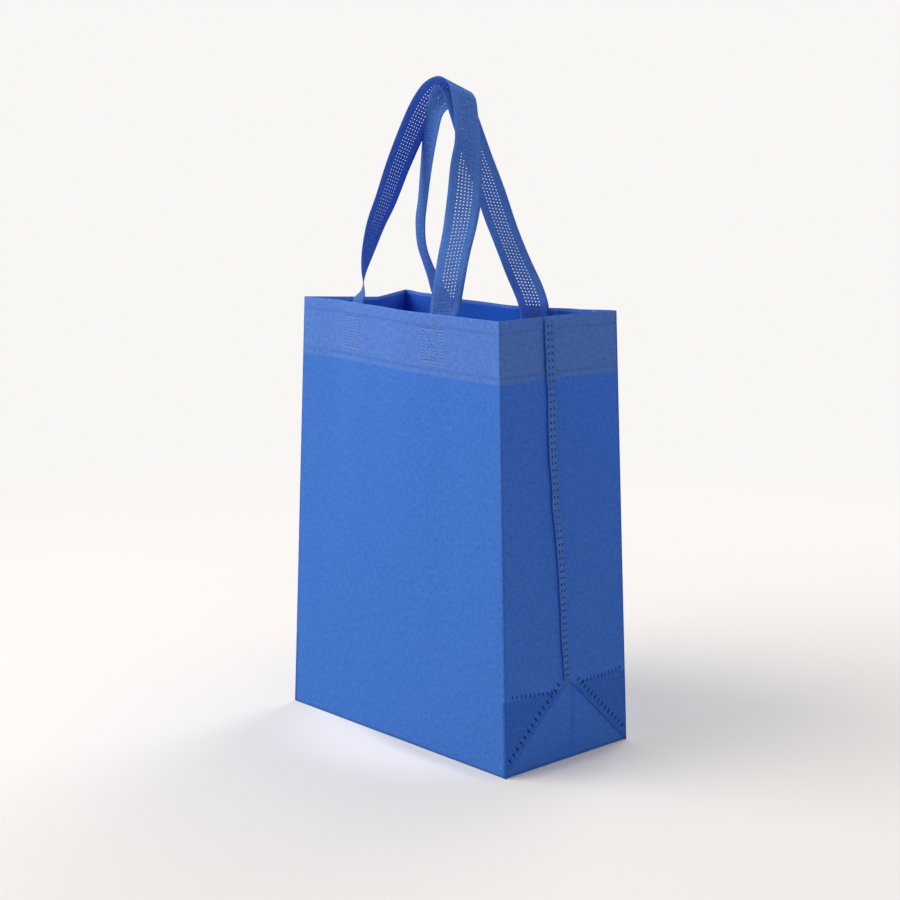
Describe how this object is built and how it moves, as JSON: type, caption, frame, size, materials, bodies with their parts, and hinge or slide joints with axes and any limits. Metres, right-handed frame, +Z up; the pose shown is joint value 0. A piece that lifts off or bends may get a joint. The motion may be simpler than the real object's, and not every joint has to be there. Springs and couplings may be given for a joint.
{
  "type": "non-woven tote bag",
  "caption": "Blue non-woven tote bag with gusseted sides, a boxed bottom with folded corners and two perforated strap handles.",
  "frame": {"origin": "on the surface that the bag stands on, under the middle of its outline", "axes": "+Z up towards the handles, -Y out of the front panel, X along the bag's width with the right side panel at +X"},
  "size_m": [0.3038, 0.158, 0.6058],
  "materials": {
    "bag_cloth": "matte spunbond with a fine embossed lattice",
    "strap_cloth": "matte spunbond, perforated down its middle"
  },
  "bodies": {
    "root": {"bag_body": "bag_cloth", "front_handle": "strap_cloth", "back_handle": "strap_cloth"}
  },
  "joints": []
}
